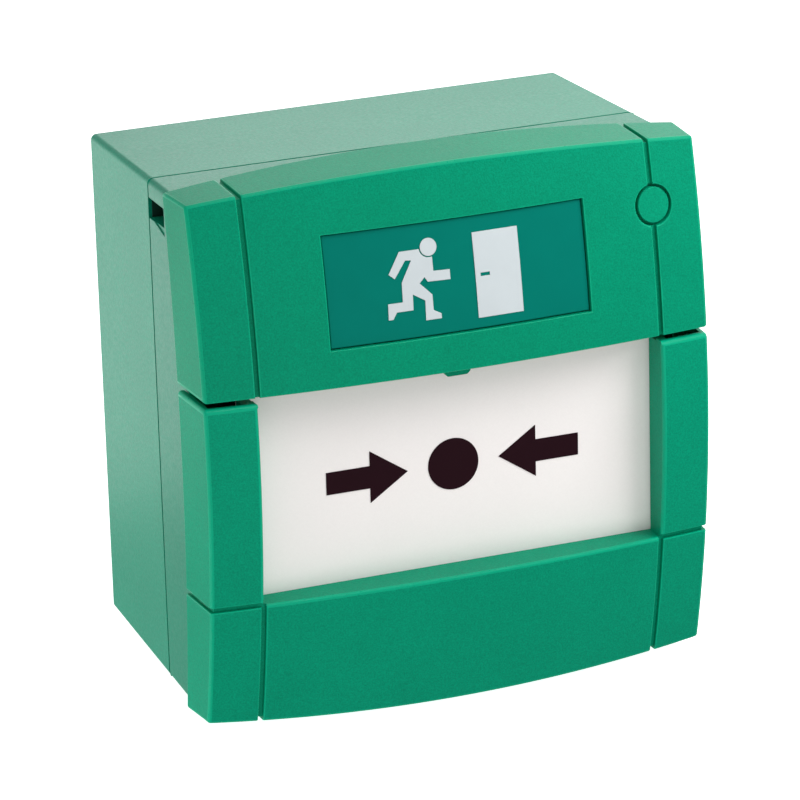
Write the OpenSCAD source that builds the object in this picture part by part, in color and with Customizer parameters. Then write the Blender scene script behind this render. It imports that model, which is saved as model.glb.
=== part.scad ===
// Manual call point for emergency door release, on a surface back box.
// +X is the viewer's right, +Z is up and the front faces -Y. The origin is
// the centre of the back box's mounting face. Depths are measured from the
// wall, so a depth of d lies at y = -d.

/* [Back box] */
// Width where it meets the front unit
box_w = 85.6; // [84:0.1:88]
// Height where it meets the front unit
box_h = 86.7; // [85:0.1:88]
// Depth from the wall to the joint
box_d = 30.8; // [28:0.1:40]
// Wall thickness
box_wall = 2; // [1.6:0.1:2.6]
// Thickness of the rear wall
rear_wall = 2.4; // [2:0.1:4]
// Radius of the long edges
edge_r = 1; // [0.5:0.1:3]
// Draft of each side wall, in mm per mm of depth
draft_x = 0.018; // [0:0.002:0.03]
// Draft of the top and bottom walls, in mm per mm of depth
draft_z = 0.029; // [0:0.001:0.04]
// Distance between the wall-fixing holes, both ways
fixing_pitch = 50; // [44:1:52]
// Radius of the wall-fixing holes
fixing_r = 2.25; // [1.8:0.05:2.6]
// Radius of the rear cable entry and of the conduit knock-outs
entry_r = 10; // [8:0.5:12]
// Distance between the two front unit screws
unit_screw_pitch = 60.3; // [58:0.1:62]

/* [Front face] */
// Overall depth at the middle of the front
front_d = 60.7; // [58:0.1:64]
// Horizontal radius of the front face
bulge_rx = 355; // [300:5:500]
// Vertical radius of the front face
bulge_rz = 173; // [150:1:200]
// Height of the front face's most forward point
bulge_z = -1.4; // [-4:0.1:2]
// Width at the rear edge of the front section
lip_w = 88.9; // [88:0.1:90]
// Draft of the front section's sides, in mm per mm of depth
lip_draft = 0.048; // [0.02:0.002:0.06]
// Height of the top edge at its middle
top_z = 47.25; // [46:0.05:48]
// Radius of the arched top edge
top_r = 365; // [300:5:450]
// Height of the bottom edge at its middle
bottom_z = -45.9; // [-47:0.05:-45]
// Radius of the arched bottom edge
bottom_r = 400; // [300:5:450]
// Wall thickness of the front mouldings
front_wall = 2.2; // [1.8:0.1:2.4]
// Lower edge of the top cover
cover_z = 13.4; // [12:0.1:16]
// Gap between the top cover and the lower frame
cover_gap = 1.05; // [0.6:0.05:1.4]
// Width of the trim grooves
groove_w = 0.85; // [0.5:0.05:1.2]
// Depth of the trim grooves
groove_depth = 0.7; // [0.4:0.1:1.4]

/* [Window and sign] */
// Half width of the window, which is also where the upright grooves run
window_x = 35.04; // [33:0.02:36]
// Height of the window's ledge
ledge_z = -22.05; // [-24:0.05:-20]
// Depth of the operating plate's face from the wall
plate_d = 53.2; // [52:0.1:54]
// Travel of the operating plate when pressed
press_travel = 2.5; // [1:0.1:3]
// Width of the sign panel
sign_w = 44.7; // [40:0.1:46]
// Height of the sign panel
sign_h = 17.9; // [16:0.1:19]
// Height of the sign panel's middle
sign_z = 28.65; // [28:0.05:29]

/* [Mechanism] */
// Radius of the carrier's guide pins
guide_r = 1.5; // [1.2:0.1:2]
// Running clearance on radius
run_fit = 0.05; // [0.03:0.01:0.08]
// Drop of the flag when the plate is pressed
flag_drop = 4.5; // [3:0.1:4.6]

/* [Hidden] */

green = [0.0, 0.55, 0.4];
teal = [0, 0.48, 0.44];
black = [0.08, 0.08, 0.09];
steel = [0.72, 0.73, 0.75];
brass = [0.78, 0.62, 0.3];
big_fn = 256;
round_fn = 64;
small_fn = 32;
eps = 0.01;
reach = 50; // beyond the object's sides, top and bottom
front_reach = 64; // beyond its front

// joint between the box and the front unit
gasket_t = 0.3;
unit_d = box_d + gasket_t;
tongue_h = 2;
rim_inset = 3.4;
rim_depth = 4.8;
tongue_inset = front_wall + 0.15;
gasket_inset = 0.6;

// screw posts, inserts and wall holes of the back box
post_r = 4;
insert_r = 2.6;
insert_bore_r = 1.75;
insert_d = [18, 26];
unit_screw_z = 27;
fixing_shift = -8;
entry_z = -16;
knockout_x = 20;
knockout_d = 14;
knockout_web = 0.8;
knockout_cut = 3;
earth_x = -34;
earth_z = -20;
earth_half = [4, 3.5];
earth_d = [8, 14];
earth_post_r = 3.2;
earth_wire_d = 10.4;
earth_wire_r = 1.4;
earth_thread_r = 1.7;
earth_head_r = 3;
earth_head_h = 2;

// front section: rear edge is an arc in the side view
section_d = [30, 66];
rear_r = 300;
rear_d = 46.9;
rear_z = -4;
rear_gap = 0.3;
lip_ref_d = 44;
arch_ref_d = 43;
top_slope = 0.036;
bottom_slope = 0.05;
strip_front = 52;
frame_z = cover_z - cover_gap;
plate_t = 1.6;
window_wall = 1.96;
window_out = window_x + window_wall;
window_side_d = plate_d + 0.2;
side_groove_x = 41.5;
side_groove_half = 6.46;

// fixing bosses and flange of the front housing
flange_t = 1.6;
flange_inset = 7;
flange_top = 42;
boss_r = 2.9;
boss_x = 36;
boss_top = [32, 48]; // height and front end
boss_low = [-36, 50];
boss_hole_r = 1.2;
boss_hole_end = 46.5;

// sockets in the sides for a clip-on flap
socket_z = 38.5;
socket_h = 3.4;
socket_end = 38.9;
socket_x = 43;
socket_half = 4;
socket_ramp = [5.5, 1.2];
socket_step_d = 35.2;
socket_floor_x = 41.2;
socket_back = [37.6, 33.1];
socket_back_end = 39;
socket_rim = 1.2;

// hinge of the cover
hinge_d = 44;
hinge_z = 44.7;
hinge_pin_r = 0.75;
hinge_press = 0.03;
hinge_fit = 0.07;
lug_r = 1.3;
lug_near = [8, 11.8];
lug_far = [18.2, 22];
lug_foot_z = 41.05;
lug_foot_d = 40.4;
lug_z = 40.5;
knuckle = [12.1, 17.9];
pin_x = [7.7, 22.3];
pin_hole_x = 25;
pocket_gap = 0.3;

// lower edge of the cover
cover_wall_d = 55.3;
cover_wall_t = 1.8;
cover_end_x = 42.5;
cover_end_half = 3;
tab_d = [55, 56.2];
tab_low_z = 11.2;
tab_half = [2.3, 1.7];
tab_corner = 0.6;

// sign and indicator blank
sign_recess = 1.2;
sign_t = 0.7;
sign_margin = 0.2;
print_t = 0.1;
blank_x = 35.3;
blank_z = 34.8;
blank_hole_r = 3.35;
blank_r = 2.85;
blank_stem_r = 2;
blank_stem_d = [49, 54.5];

// chassis
chassis_t = 2.4;
chassis_front = 42.4;
chassis_rear = chassis_front - chassis_t;
chassis_half_x = 40.4;
chassis_half_z = 40.9;
chassis_corner = 2;
chassis_hole_r = 1.4;
unit_hole_r = 1.9;
guide_post_r = 3.2;
guide_post_d = [38, 44.5];
rod_post_r = 3;
flag_post_x = 38.05;
flag_post_half = 1.15;
flag_post_front = 55.2;
flag_post_top = 22.3;
flag_relief = 0.35;
flag_play = 0.2;

// carrier behind the operating plate
plate_half_x = 36.6;
plate_top = 19.3;
plate_overlap = 2.3;
carrier_rear = 49.6;
carrier_half_x = 33;
carrier_z = [-22.5, 17.5];
carrier_skin = 0.8;
guide_x = 29;
guide_zs = [-18, 13];
guide_stop = 34.1;
guide_tip = guide_stop + press_travel;
rod_x = 6;
rod_r = 1.5;
rod_gap = 0.15;
spring_r = [2, 2.7];
symbol_z = -4.9;
dot_r = 4.43;

// drop flag
flag_front = 54.7;
flag_t = 1;
flag_down_z = 10.1;
flag_low_z = flag_down_z + flag_drop;
flag_top_z = flag_low_z + 7;
flag_arm_z = flag_top_z - 3.8;
flag_half_x = 34.4;
flag_arm_x = 37.5;
flag_notch = [8, 2];

// switch
switch_z = -6.8;
switch_t = 6.4;
switch_x = [-10.6, 9.6];
switch_rear = 27.5;
switch_front = 34;
switch_screw_xs = [-7, 6];
switch_screw_d = 31;
switch_screw_r = 0.95;
shelf_x = [-12, 11];
shelf_rear = 28.5;
shelf_t = 1.8;
tag_xs = [-7.5, -0.5, 6.5];
tag_rear = 21.5;
tag_half = [0.4, 1.6];
ear_half = 1.4;
ear_t = 0.9;
pivot_x = -9;
pivot_d = 38.1;
pivot_r = 0.5;
lever_top = 38.6;
lever_t = 0.4;
lever_end = 9.5;
lever_half = 2;
lever_hub_r = 1;
plunger_x = -4;
plunger_r = 0.9;

// board and terminals
board_x = [-38.2, -15.5];
board_half_z = 28;
board_front = 38.1;
board_t = 1.6;
board_rear = board_front - board_t;
board_screw_xs = [-35, -19];
board_screw_z = 24;
board_screw_r = 0.95;
standoff_r = 2.4;
resistor_x = -19.5;
resistor_zs = [-8, 1];
resistor_len = 5;
resistor_r = 1.2;
lead_r = 0.35;
lead_out = 0.7;
lead_lift = 1.7;
header_x = [-23, -17.5];
header_z = [8, 18];
header_h = 6;
header_wall = 0.8;
ways = 6;
way_pitch = 7;
block_x = -31.5;
block_half = 4.5;
block_rear = board_rear - 11;
way_mouth = [3, 8.2];
way_half = 2.4;
cage_half = 2.3;
cage_d = [3.1, 8.1];
cage_hole_d = [4.6, 7.4];
cage_hole_half = 1.6;
clamp_r = 1.25;
clamp_head_r = 2;

// key cam
cam_d = 50;
cam_r = 4;
cam_z = [-41.5, -28.6];
cam_pin_top = -26;
cam_pin_r = 2.4;
cam_pin_x = 1.6;
bearing_wall = 2.2;
bearing_z = [-44, -31];
bearing_skin = 0.5;
clip_z = -30;
clip_half = 0.35;
clip_rim = 1.4;
clip_seat = 0.65;
key_slot = [4, 0.9];
key_hole_r = 2.2;

// ---------- shared forms ----------

function span(middle, half) = [middle - half, middle + half];
function ordered(a, b) = [min(a, b), max(a, b)];

module at_depth(d) {
    translate([0, -d, 0]) rotate([90, 0, 0]) children();
}

module corners(w, h, r) {
    for (sx = [-1, 1], sz = [-1, 1])
        translate([sx * (w / 2 - r), sz * (h / 2 - r), 0]) children();
}

module rounded_plate(w, h, r, t) {
    corners(w, h, r) cylinder(r = r, h = t, $fn = small_fn);
    translate([-w / 2 + r, -h / 2, 0]) cube([w - 2 * r, h, t]);
    translate([-w / 2, -h / 2 + r, 0]) cube([w, h - 2 * r, t]);
}

function body_w(d) = box_w + 2 * (d - box_d) * draft_x;
function body_h(d) = box_h + 2 * (d - box_d) * draft_z;

// drafted block between two depths, pulled in by inset on every side
module drafted_block(d0, d1, inset) {
    r = max(edge_r - inset, 0.4);
    hull() for (d = [d0, d1 - eps])
        at_depth(d) corners(body_w(d) - 2 * inset, body_h(d) - 2 * inset, r)
            cylinder(r = r, h = eps, $fn = small_fn);
}

// block given by its x, depth and z ranges
module block(x, d, z) {
    translate([x[0], -d[1], z[0]]) cube([x[1] - x[0], d[1] - d[0], z[1] - z[0]]);
}

// rod along the depth, from depth d[0] to d[1]
module depth_rod(x, z, r, d, fn = round_fn) {
    translate([x, -d[0], z]) rotate([90, 0, 0]) cylinder(r = r, h = d[1] - d[0], $fn = fn);
}

// rod along x
module cross_rod(x, d, z, r, fn = round_fn) {
    translate([x[0], -d, z]) rotate([0, 90, 0]) cylinder(r = r, h = x[1] - x[0], $fn = fn);
}

// rod along z
module upright_rod(x, d, z, r, fn = round_fn) {
    translate([x, -d, z[0]]) cylinder(r = r, h = z[1] - z[0], $fn = fn);
}

// doubly curved front, as part of a ring with radius bulge_rz in section
module bulge(inset) {
    translate([0, bulge_rx - front_d, bulge_z])
        rotate_extrude($fn = big_fn)
            translate([bulge_rx - bulge_rz, 0]) circle(bulge_rz - inset, $fn = big_fn);
}

function side_x(d, inset) = lip_w / 2 + (lip_ref_d - d) * lip_draft - inset;

// tapered sides of the front section, seen from above
module tapered_sides(inset) {
    near = section_d[0];
    far = section_d[1];
    w0 = side_x(near, inset);
    w1 = side_x(far, inset);
    translate([0, 0, -reach]) linear_extrude(2 * reach)
        polygon([[-w0, -near], [w0, -near], [w1, -far], [-w1, -far]]);
}

// arched edge: inside of a slightly tapered big cylinder
module arch(z, r, slope, side) {
    near = section_d[0];
    far = section_d[1];
    translate([0, -near, z - side * r]) rotate([90, 0, 0])
        cylinder(r1 = r + (arch_ref_d - near) * slope, r2 = r + (arch_ref_d - far) * slope,
            h = far - near, $fn = big_fn);
}

module front_form(inset = 0) {
    intersection() {
        bulge(inset);
        tapered_sides(inset);
        arch(top_z - inset, top_r, top_slope, 1);
        arch(bottom_z + inset, bottom_r, bottom_slope, -1);
    }
}

module front_skin(wall) {
    difference() {
        front_form();
        front_form(wall);
    }
}

// everything behind the rear edge of the front section
module rear_side(gap = 0) {
    translate([0, rear_r - rear_d, rear_z]) rotate([0, 90, 0])
        cylinder(r = rear_r - gap, h = 2.4 * reach, center = true, $fn = big_fn);
}

module upright_grooves(z) {
    for (s = [-1, 1]) difference() {
        block(span(s * window_x, groove_w / 2), [40, front_reach], z);
        front_form(groove_depth);
    }
}

// screw with a cross slot; dir is the way the head stands up from head_d
module pan_screw(x, z, head_d, r, head_r, tip_d, dir) {
    head_h = head_r * 0.65;
    top_d = head_d + dir * head_h;
    difference() {
        union() {
            depth_rod(x, z, r, ordered(head_d, tip_d), small_fn);
            depth_rod(x, z, head_r, ordered(head_d, top_d), small_fn);
        }
        for (a = [0, 90]) translate([x, -top_d, z]) rotate([0, a, 0])
            cube([head_r * 1.2, head_h * 1.1, head_r * 0.3], center = true);
    }
}

// ---------- back box ----------

module box_posts() {
    for (s = [-1, 1])
        depth_rod(s * unit_screw_pitch / 2, unit_screw_z, post_r,
            [rear_wall - 1, box_d - rim_depth + 1]);
    depth_rod(earth_x, earth_z, earth_post_r, [rear_wall - 1, earth_d[0]]);
}

module joint_tongue() {
    difference() {
        drafted_block(box_d - eps, box_d + tongue_h, tongue_inset);
        drafted_block(box_d - 2 * eps, box_d + tongue_h + eps, rim_inset);
    }
}

module box_shell() {
    difference() {
        drafted_block(0, box_d, 0);
        difference() {
            drafted_block(rear_wall, box_d - rim_depth, box_wall);
            box_posts();
        }
        drafted_block(box_d - rim_depth - eps, box_d + eps, rim_inset);
    }
}

module back_box() {
    through = [-1, rear_wall + 1];
    color(green) difference() {
        union() {
            box_shell();
            joint_tongue();
        }
        for (sx = [-1, 1]) {
            depth_rod(sx * unit_screw_pitch / 2, unit_screw_z, insert_r, [insert_d[0], unit_d]);
            for (sz = [-1, 1]) {
                depth_rod(sx * fixing_pitch / 2, sz * fixing_pitch / 2 + fixing_shift,
                    fixing_r, through);
                translate([sx * knockout_x, -knockout_d,
                    sz * (box_h / 2 - box_wall - knockout_web)])
                    cylinder(r = entry_r, h = knockout_cut, center = true, $fn = round_fn);
            }
        }
        depth_rod(0, entry_z, entry_r, through);
    }
}

module joint_gasket() {
    color(black) difference() {
        drafted_block(box_d, unit_d, gasket_inset);
        drafted_block(box_d - eps, unit_d + eps, tongue_inset);
    }
}

module post_inserts() {
    color(brass) for (s = [-1, 1]) difference() {
        depth_rod(s * unit_screw_pitch / 2, unit_screw_z, insert_r, insert_d);
        depth_rod(s * unit_screw_pitch / 2, unit_screw_z, insert_bore_r,
            [insert_d[0] - 1, insert_d[1] + 1]);
    }
}

module earth_terminal() {
    color(brass) difference() {
        block(span(earth_x, earth_half[0]), earth_d, span(earth_z, earth_half[1]));
        depth_rod(earth_x, earth_z, insert_bore_r, [earth_d[0] - 1, earth_d[1] + 1]);
        cross_rod(span(earth_x, earth_half[0] + 1), earth_wire_d, earth_z, earth_wire_r);
    }
}

module earth_screw() {
    top = earth_d[1] + earth_head_h;
    color(brass) difference() {
        union() {
            depth_rod(earth_x, earth_z, earth_thread_r,
                [earth_wire_d + earth_wire_r + 0.1, earth_d[1]]);
            depth_rod(earth_x, earth_z, earth_head_r, [earth_d[1], top]);
        }
        block(span(earth_x, earth_head_r + 0.2), [top - 0.8, top + 0.2], span(earth_z, 0.4));
    }
}

// ---------- front housing ----------

// ring between the joint and the front section
module side_strip() {
    difference() {
        intersection() {
            drafted_block(unit_d, strip_front, 0);
            union() {
                rear_side(rear_gap);
                intersection() {
                    rear_side();
                    block([-reach, reach], section_d, [-reach, frame_z]);
                }
            }
        }
        drafted_block(unit_d - eps, strip_front + eps, front_wall);
    }
}

module side_grooves() {
    for (s = [-1, 1]) difference() {
        block(span(s * side_groove_x, side_groove_half), [40, front_reach],
            span(ledge_z, groove_w / 2));
        front_form(groove_depth);
    }
}

// lower half of the front section, open to the rear and at the top of its uprights
module lower_frame() {
    difference() {
        intersection() {
            front_form();
            block([-reach, reach], [section_d[0], front_reach], [-reach, frame_z]);
            union() {
                front_skin(front_wall);
                block([-window_out, window_out], [window_side_d, front_reach],
                    [ledge_z - window_wall, frame_z]);
            }
        }
        rear_side();
        block([-window_x, window_x], [50, front_reach], [ledge_z, frame_z + 1]);
        upright_grooves([-reach, ledge_z]);
        side_grooves();
    }
}

module key_hole() {
    upright_rod(0, cam_d, [-reach, -40], key_hole_r);
    block([-key_slot[0], key_slot[0]], span(cam_d, key_slot[1]), [-reach, -40]);
}

module cam_bearing() {
    difference() {
        upright_rod(0, cam_d, bearing_z, cam_r + bearing_wall);
        difference() {
            block([-8, 8], [40, 60], [-reach, -40]);
            front_form(bearing_skin);
        }
    }
}

module hinge_lug(x) {
    block(x, span(hinge_d, lug_r), [lug_z, hinge_z]);
    cross_rod(x, hinge_d, hinge_z, lug_r);
    block(x, [lug_foot_d, hinge_d + lug_r], [lug_foot_z, chassis_front]);
}

// closes the deep rear part of a flap socket behind the side wall, with a thinner
// wall where it reaches back beside the box's tongue
module socket_housings() {
    for (s = [-1, 1]) {
        block(ordered(s * socket_back[0], s * socket_floor_x),
            [socket_back[1], socket_step_d + socket_rim],
            span(socket_z, socket_h / 2 + socket_rim));
        block(ordered(s * socket_back[0], s * socket_back_end), [unit_d, socket_back[1] + eps],
            span(socket_z, socket_h / 2 + socket_rim));
    }
}

module flap_sockets() {
    low = socket_z - socket_h / 2;
    for (s = [-1, 1]) {
        block(span(s * socket_x, socket_half), [unit_d - 1, socket_step_d],
            span(socket_z, socket_h / 2));
        block(span(s * (socket_floor_x + socket_half), socket_half),
            [socket_step_d - 1, socket_end], span(socket_z, socket_h / 2));
        translate([s * (socket_x + 0.4), 0, 0]) rotate([90, 0, 90])
            linear_extrude(1, center = true)
                polygon([[-socket_end + socket_ramp[0], low], [-socket_end, low],
                    [-socket_end, low - socket_ramp[1]]]);
    }
}

// keeps the flange behind the cover's rear edge
module rear_trim() {
    difference() {
        block([-reach, reach], [40, 60], [frame_z - 2, reach]);
        rear_side(rear_gap);
    }
}

module flange() {
    difference() {
        intersection() {
            drafted_block(chassis_front, 50, front_wall - 1);
            block([-reach, reach], [section_d[0], chassis_front + flange_t],
                [-reach, flange_top]);
        }
        drafted_block(chassis_front - eps, 50 + eps, flange_inset);
        for (s = [-1, 1])
            block(span(s * flag_post_x, flag_post_half + 0.45), [40, 50],
                [frame_z + 0.15, flag_post_top + 0.4]);
        rear_trim();
    }
}

module front_housing() {
    color(green) difference() {
        union() {
            side_strip();
            lower_frame();
            flange();
            cam_bearing();
            socket_housings();
            for (s = [-1, 1]) {
                for (b = [boss_top, boss_low])
                    depth_rod(s * boss_x, b[0], boss_r, [chassis_front, b[1]]);
                for (x = [lug_near, lug_far]) hinge_lug(ordered(s * x[0], s * x[1]));
            }
        }
        for (s = [-1, 1], b = [boss_top, boss_low])
            depth_rod(s * boss_x, b[0], boss_hole_r, [chassis_front - 1, boss_hole_end]);
        cross_rod([-pin_hole_x, pin_hole_x], hinge_d, hinge_z, hinge_pin_r + hinge_press);
        upright_rod(0, cam_d, [cam_z[0] - 0.1, clip_z], cam_r + run_fit);
        flap_sockets();
        key_hole();
    }
}

// ---------- top cover ----------

module cover_shell() {
    difference() {
        intersection() {
            front_form();
            block([-reach, reach], [section_d[0], front_reach], [cover_z, reach]);
            union() {
                front_skin(front_wall);
                block([-reach, reach], [cover_wall_d, front_reach],
                    [cover_z, cover_z + cover_wall_t]);
                for (s = [-1, 1])
                    block(span(s * cover_end_x, cover_end_half), [40, front_reach],
                        [cover_z, cover_z + cover_wall_t]);
            }
        }
        rear_side();
    }
}

module knuckles() {
    for (s = [-1, 1]) {
        x = ordered(s * knuckle[0], s * knuckle[1]);
        intersection() {
            union() {
                cross_rod(x, hinge_d, hinge_z, lug_r + 0.1);
                block(x, [hinge_d - 1, hinge_d + 1.6], [hinge_z, 46.6]);
            }
            front_form(0.4);
        }
    }
}

module lug_pockets() {
    r = lug_r + pocket_gap;
    for (s = [-1, 1], x = [lug_near, lug_far]) {
        wide = ordered(s * x[0], s * x[1]) + [-pocket_gap, pocket_gap];
        cross_rod(wide, hinge_d, hinge_z, r);
        block(wide, [40, hinge_d + r], [40, hinge_z]);
        block(wide, [40, hinge_d], [hinge_z - eps, hinge_z + lug_r + pocket_gap]);
    }
}

module sign_window(grow) {
    block([-sign_w / 2 - grow, sign_w / 2 + grow], [45, front_reach],
        span(sign_z, sign_h / 2 + grow));
}

// small tab below the middle of the cover
module cover_tab() {
    top = cover_z + 1;
    shoulder = tab_low_z + tab_corner;
    at_depth(tab_d[0]) linear_extrude(tab_d[1] - tab_d[0])
        polygon([[-tab_half[0], top], [-tab_half[0], shoulder], [-tab_half[1], tab_low_z],
            [tab_half[1], tab_low_z], [tab_half[0], shoulder], [tab_half[0], top]]);
}

// room for the top of a flag guide behind the cover's face
module flag_post_relief(s) {
    block(span(s * flag_post_x, flag_post_half + flag_relief),
        [50, flag_post_front + flag_relief], [cover_z - 1, flag_post_top + 2 * flag_relief]);
}

module top_cover() {
    color(green) difference() {
        union() {
            cover_shell();
            knuckles();
            cover_tab();
        }
        lug_pockets();
        cross_rod([-pin_hole_x, pin_hole_x], hinge_d, hinge_z, hinge_pin_r + hinge_fit);
        upright_grooves([cover_z - 1, reach]);
        difference() {
            union() {
                sign_window(sign_margin);
                depth_rod(blank_x, blank_z, blank_hole_r, [45, front_reach]);
            }
            front_form(sign_recess);
        }
        depth_rod(blank_x, blank_z, blank_stem_r + run_fit, [45, front_reach]);
        for (s = [-1, 1]) flag_post_relief(s);
    }
}

module hinge_pins() {
    color(steel) for (s = [-1, 1])
        cross_rod(ordered(s * pin_x[0], s * pin_x[1]), hinge_d, hinge_z, hinge_pin_r);
}

module sign_panel() {
    color(teal) intersection() {
        difference() {
            front_form(sign_recess - sign_t);
            front_form(sign_recess);
        }
        sign_window(0);
    }
}

// figure running to the right, in the sign's own plane
module running_figure() {
    head = [-4.8, 5.15];
    head_r = 1.43;
    neck_gap = 0.2;
    rear_arm = [[-7.9, 3.4], [-8.9, 3.5], [-10.9, 0.8], [-11.9, 1.6], [-9.8, 5]];
    front_arm = [[-4.3, 5], [-4.3, 1.3], [-1.5, 1.2], [-1.5, -0.4], [-5.4, -0.3], [-5.9, 0.5]];
    front_leg = [[-6.8, -0.4], [-4.8, -2.4], [-4.8, -4.9], [-3.5, -5.6], [-3.5, -6.4],
        [-6.2, -6.4], [-6.1, -3.2]];
    rear_leg = [[-8.1, -2], [-8.2, -4.5], [-11, -4.5], [-11.7, -5.6], [-12.5, -5.6],
        [-12.4, -3], [-9.9, -3], [-9.8, 0.1]];
    translate(head) circle(head_r, $fn = round_fn);
    difference() {
        polygon(concat(rear_arm, front_arm, front_leg, rear_leg));
        translate(head) circle(head_r + neck_gap, $fn = round_fn);
    }
}

module sign_door() {
    corner = [2.8, -7.28];
    size = [7.9, 13.7];
    handle_corner = [3.7, -0.65];
    handle_size = [1.6, 0.55];
    difference() {
        translate(corner) square(size);
        translate(handle_corner) square(handle_size);
    }
}

module pictogram() {
    face = sign_recess - sign_t;
    color([0.86, 0.9, 0.9]) intersection() {
        difference() {
            front_form(face - print_t);
            front_form(face);
        }
        translate([0, -45, sign_z]) rotate([90, 0, 0]) linear_extrude(20) {
            running_figure();
            sign_door();
        }
    }
}

module indicator_blank() {
    color(green) union() {
        intersection() {
            front_skin(sign_recess);
            depth_rod(blank_x, blank_z, blank_r, [45, front_reach]);
        }
        depth_rod(blank_x, blank_z, blank_stem_r, blank_stem_d);
    }
}

// ---------- operating plate ----------

module operating_plate() {
    color("white") block([-plate_half_x, plate_half_x], [plate_d - plate_t, plate_d],
        [ledge_z - plate_overlap, plate_top]);
}

module arrow() {
    tail = -22.16;
    neck = -14.58;
    tip = -7.95;
    shaft = 1.93;
    head = 4.48;
    polygon([[tail, -shaft], [neck, -shaft], [neck, -head], [tip, 0],
        [neck, head], [neck, shaft], [tail, shaft]]);
}

module plate_symbols() {
    color(black) translate([0, -plate_d, symbol_z]) rotate([90, 0, 0])
        linear_extrude(print_t) {
            arrow();
            mirror([1, 0]) arrow();
            circle(dot_r, $fn = round_fn);
        }
}

module plate_carrier() {
    plate_rear = plate_d - plate_t;
    hollow = [carrier_rear - 1, plate_rear - carrier_skin];
    color(black) {
        difference() {
            block([-carrier_half_x, carrier_half_x], [carrier_rear, plate_rear], carrier_z);
            for (s = [-1, 1]) block(span(s * 16, 9), hollow, [0, 12]);
            block([-25, 25], hollow, [-19, -11]);
        }
        for (s = [-1, 1], z = guide_zs)
            depth_rod(s * guide_x, z, guide_r, [guide_tip, carrier_rear + 0.5]);
        depth_rod(rod_x, switch_z, rod_r, [lever_top + rod_gap, carrier_rear + 0.5]);
    }
}

module return_springs() {
    seat = guide_post_d[1];
    color(steel) for (s = [-1, 1], z = guide_zs) difference() {
        depth_rod(s * guide_x, z, spring_r[1], [seat, carrier_rear]);
        depth_rod(s * guide_x, z, spring_r[0], [seat - 1, carrier_rear + 1]);
    }
}

module drop_flag() {
    thick = [flag_front - flag_t, flag_front];
    color([0.95, 0.8, 0.1]) difference() {
        union() {
            block([-flag_half_x, flag_half_x], thick, [flag_low_z, flag_top_z]);
            block([-flag_arm_x, flag_arm_x], thick, [flag_arm_z, flag_top_z]);
        }
        block([-flag_notch[0], flag_notch[0]], [flag_front - 2, flag_front + 1],
            [flag_top_z - flag_notch[1], flag_top_z + 1]);
    }
}

// ---------- chassis ----------

module flag_guide(s) {
    slot = [flag_front - flag_t - flag_play, flag_front + flag_play];
    low = flag_arm_z - flag_drop - 0.4;
    difference() {
        block(span(s * flag_post_x, flag_post_half), [chassis_rear, flag_post_front],
            [low, flag_post_top]);
        block(span(s * (flag_arm_x - 0.3), 0.5), slot, [low - 1, flag_post_top + 1]);
    }
}

module switch_shelf() {
    top = switch_z - switch_t / 2 - 0.05;
    block(shelf_x, [shelf_rear, chassis_rear + eps], [top - shelf_t, top]);
}

module board_standoffs() {
    for (x = board_screw_xs, s = [-1, 1])
        depth_rod(x, s * board_screw_z, standoff_r, [board_front, chassis_rear + eps]);
}

module chassis_holes() {
    through = [35, 50];
    for (s = [-1, 1]) {
        for (z = guide_zs) depth_rod(s * guide_x, z, guide_r + run_fit, through);
        depth_rod(s * unit_screw_pitch / 2, unit_screw_z, unit_hole_r, through);
        for (b = [boss_top, boss_low])
            depth_rod(s * boss_x, b[0], chassis_hole_r, through);
        for (x = board_screw_xs)
            depth_rod(x, s * board_screw_z, board_screw_r, [board_front - 1, 41]);
    }
    depth_rod(rod_x, switch_z, rod_r + run_fit, through);
    for (x = switch_screw_xs)
        upright_rod(x, switch_screw_d, [switch_z - 7, switch_z - 1], switch_screw_r);
}

module chassis() {
    color(black) difference() {
        union() {
            at_depth(chassis_rear)
                rounded_plate(2 * chassis_half_x, 2 * chassis_half_z, chassis_corner, chassis_t);
            for (s = [-1, 1]) {
                flag_guide(s);
                for (z = guide_zs) depth_rod(s * guide_x, z, guide_post_r, guide_post_d);
            }
            depth_rod(rod_x, switch_z, rod_post_r, [chassis_rear, guide_post_d[1]]);
            switch_shelf();
            board_standoffs();
        }
        chassis_holes();
    }
}

module chassis_screws() {
    color(steel) for (s = [-1, 1], b = [boss_top, boss_low])
        pan_screw(s * boss_x, b[0], chassis_rear, boss_hole_r, 2.5, boss_hole_end - 0.1, -1);
}

module unit_screws() {
    color(steel) for (s = [-1, 1])
        pan_screw(s * unit_screw_pitch / 2, unit_screw_z, chassis_front, insert_bore_r, 3.2,
            insert_d[0] + 1.5, 1);
}

// ---------- board and terminals ----------

module circuit_board() {
    through = [board_rear - 1, board_front + 1];
    color([0.05, 0.3, 0.15]) difference() {
        block(board_x, [board_rear, board_front], [-board_half_z, board_half_z]);
        for (x = board_screw_xs, s = [-1, 1])
            depth_rod(x, s * board_screw_z, board_screw_r + 0.15, through);
        for (z = guide_zs) depth_rod(-guide_x, z, guide_post_r + 0.8, through);
        depth_rod(-unit_screw_pitch / 2, unit_screw_z, unit_hole_r + 0.7, through);
    }
}

module board_screws() {
    color(steel) for (x = board_screw_xs, s = [-1, 1])
        pan_screw(x, s * board_screw_z, board_rear, board_screw_r, 1.9, 40.9, -1);
}

// resistor lying along z, with both leads bent down to the board
module resistor(z) {
    axis_d = board_rear - lead_lift;
    top = z + resistor_len;
    upright_rod(resistor_x, axis_d, [z, top], resistor_r);
    upright_rod(resistor_x, axis_d, [z - lead_out - 0.3, top + lead_out + 0.3], lead_r, small_fn);
    for (end = [z - lead_out, top + lead_out])
        depth_rod(resistor_x, end, lead_r, [axis_d, board_rear], small_fn);
}

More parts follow.
